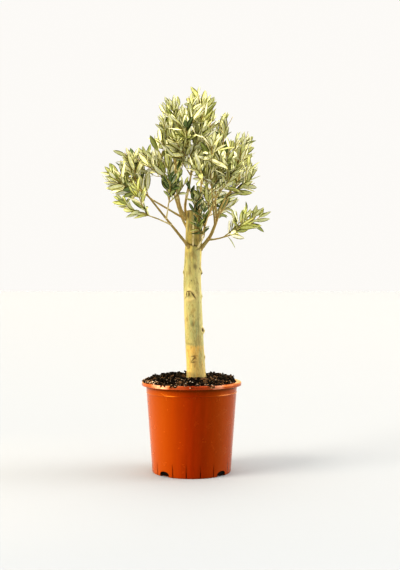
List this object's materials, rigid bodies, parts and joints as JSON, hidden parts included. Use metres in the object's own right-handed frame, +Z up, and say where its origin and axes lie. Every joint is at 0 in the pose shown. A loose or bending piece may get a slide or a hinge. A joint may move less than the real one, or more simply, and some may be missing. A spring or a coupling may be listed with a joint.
{
  "type": "olive bonsai in a nursery pot",
  "caption": "Small olive tree with a sawn-off trunk, slim boughs and sprays of narrow grey-green leaves, standing in a round plastic nursery pot filled with bark soil.",
  "frame": {"origin": "centre of the pot's flat underside, where it rests on the ground", "axes": "+Z up along the trunk, +X to the right of the pictured front, -Y out of the pictured front"},
  "size_m": [0.3687, 0.3512, 0.8523],
  "materials": {
    "pot_plastic": "glossy moulded polypropylene, terracotta orange",
    "bark_soil": "loose chipped bark and peat, dark brown, rough",
    "trunk_bark": "smooth young olive bark, pale yellow-grey with pruning scars",
    "bough_bark": "thin olive-brown bark",
    "leaf_grey_green": "leathery, satin, grey-green",
    "leaf_lime": "young leaves, satin, yellow-green",
    "leaf_dark_green": "old inner leaves, satin, dark green"
  },
  "bodies": {
    "root": {"pot": "pot_plastic", "soil": "bark_soil", "trunk": "trunk_bark", "bough_left_low": "bough_bark", "bough_left_mid": "bough_bark", "bough_left_top": "bough_bark", "bough_leader": "bough_bark", "bough_right": "bough_bark", "bough_back_left": "bough_bark", "bough_back_mid": "bough_bark", "bough_back_right": "bough_bark", "bough_back_low": "bough_bark", "bough_front_thin": "bough_bark", "bough_front_right": "bough_bark", "bough_left_spray": "bough_bark", "bough_left_riser": "bough_bark", "bough_left_inner": "bough_bark", "bough_leader_front": "bough_bark", "bough_right_low": "bough_bark", "bough_right_inner": "bough_bark", "bough_right_up": "bough_bark", "bough_right_far": "bough_bark", "leaves_top_left": "leaf_grey_green", "leaves_top_centre": "leaf_grey_green", "leaves_left_upper": "leaf_grey_green", "leaves_left_far": "leaf_grey_green", "leaves_left_low": "leaf_lime", "leaves_left_riser": "leaf_dark_green", "leaves_left_inner": "leaf_grey_green", "leaves_front_left": "leaf_grey_green", "leaves_front_right": "leaf_grey_green", "leaves_front_thin": "leaf_dark_green", "leaves_front_low": "leaf_dark_green", "leaves_right": "leaf_grey_green", "leaves_right_low": "leaf_lime", "leaves_right_up": "leaf_grey_green", "leaves_right_far": "leaf_grey_green", "leaves_back_left": "leaf_grey_green", "leaves_back_mid": "leaf_grey_green", "leaves_back_right": "leaf_grey_green", "leaves_back_low": "leaf_grey_green"}
  },
  "joints": []
}
